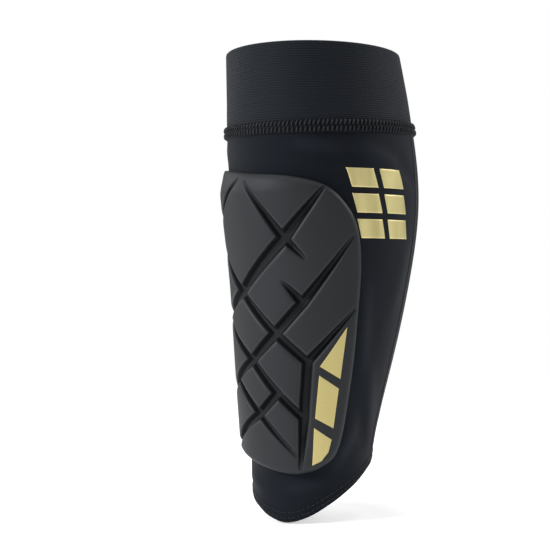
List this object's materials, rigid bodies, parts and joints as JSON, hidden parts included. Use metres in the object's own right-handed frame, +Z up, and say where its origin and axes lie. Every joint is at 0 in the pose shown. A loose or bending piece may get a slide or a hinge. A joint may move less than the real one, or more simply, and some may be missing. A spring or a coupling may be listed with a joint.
{
  "type": "shin guard",
  "caption": "Slip-on elastic leg sleeve with a ribbed knee cuff and a grooved foam shin pad with gold inlays; worn on the lower leg in ball sports.",
  "frame": {"origin": "centre of the lower leg opening, level with the lowest point of the hem", "axes": "+Z up the leg towards the knee cuff; -Y is the way the shin and the pad face; +X is the side with the wing and the emblem"},
  "size_m": [0.1144, 0.1344, 0.2848],
  "materials": {
    "front_knit": "smooth elastic warp knit, matt with a soft sheen",
    "calf_mesh": "fine elastic mesh knit, matt",
    "cuff_rib": "elastic rib knit with fine level ribs",
    "seam_thread": "overlock and coverstitch thread",
    "pad_skin": "charcoal film moulded over the foam, satin with a fine grain",
    "pad_foam": "moulded closed-cell foam",
    "pad_web": "thin moulded foam hinge web",
    "inlay_gold": "pale gold printed film, satin",
    "emblem_foil": "gold heat-transfer foil, satin",
    "liner_cloth": "brushed lining knit"
  },
  "bodies": {
    "root": {"calf_panel": "calf_mesh", "centre_diamond_block": "pad_foam", "crown_left_block": "pad_foam", "crown_right_block": "pad_foam", "cuff_back_seam": "seam_thread", "cuff_band": "cuff_rib", "cuff_join_seam": "seam_thread", "front_panel": "front_knit", "hem_stitches": "seam_thread", "hem_turn_up": "front_knit", "left_panel_seam": "seam_thread", "lower_diamond_block": "pad_foam", "lower_flank_block": "pad_foam", "lower_inlay": "inlay_gold", "lower_right_block": "pad_foam", "middle_flank_block": "pad_foam", "middle_inlay": "inlay_gold", "outer_band_block": "pad_foam", "pad_liner": "liner_cloth", "pad_skin": "pad_skin", "pad_web": "pad_web", "right_panel_seam": "seam_thread", "shoulder_block": "pad_foam", "side_emblem": "emblem_foil", "small_diamond_block": "pad_foam", "toe_block": "pad_foam", "upper_diamond_block": "pad_foam", "upper_flank_block": "pad_foam", "upper_inlay": "inlay_gold", "wing_block": "pad_foam"}
  },
  "joints": []
}
